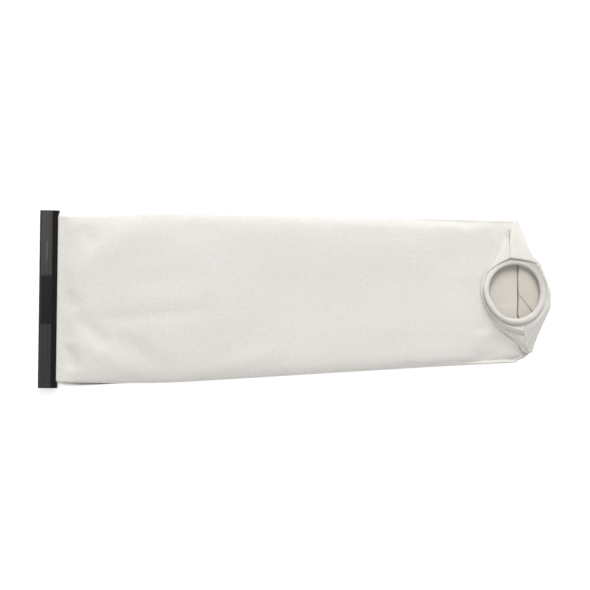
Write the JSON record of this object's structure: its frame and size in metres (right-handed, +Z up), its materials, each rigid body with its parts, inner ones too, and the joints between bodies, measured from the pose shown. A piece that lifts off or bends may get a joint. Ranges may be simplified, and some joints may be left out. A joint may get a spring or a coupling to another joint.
{
  "type": "reusable cloth dust bag",
  "caption": "Flat reusable canvas dust bag for a power tool, with an elastic inlet collar at one end and a plastic slide-on closure rail at the other.",
  "frame": {"origin": "middle of the footprint on the surface that the bag lies on", "axes": "+X along the bag from the closure rail to the inlet end, +Y along the rail towards its stop wall, +Z up, out of the inlet collar"},
  "size_m": [0.512, 0.178, 0.0268],
  "materials": {
    "canvas": "unbleached cotton canvas, plain weave with small flecks",
    "collar_canvas": "canvas rolled and sewn into a round hem",
    "thread": "twisted polyester thread",
    "rail_plastic": "black extruded plastic with fine lengthwise streaks",
    "strip_plastic": "plain moulded plastic strip",
    "elastic": "covered elastic cord"
  },
  "bodies": {
    "bag": {"front_panel": "canvas", "back_panel": "canvas", "front_mouth_hem": "canvas", "back_mouth_hem": "canvas", "front_hem_strip": "strip_plastic", "back_hem_strip": "strip_plastic", "upper_side_seam": "canvas", "lower_side_seam": "canvas", "front_end_flap": "canvas", "back_end_flap": "canvas", "upper_end_seam": "canvas", "lower_end_seam": "canvas", "inlet_collar": "collar_canvas", "collar_binding": "collar_canvas", "elastic_ring": "elastic", "mouth_hem_stitches_front": "thread", "mouth_hem_stitches_back": "thread", "side_seam_stitches_upper": "thread", "side_seam_stitches_lower": "thread", "end_seam_stitches": "thread", "collar_stitches": "thread"},
    "rail": {"closure_rail": "rail_plastic"}
  },
  "joints": [
    {"name": "rail_slide", "type": "slide", "parent": "bag", "child": "rail", "axis": [0, 1, 0], "range_m": [0, 0.18]}
  ]
}
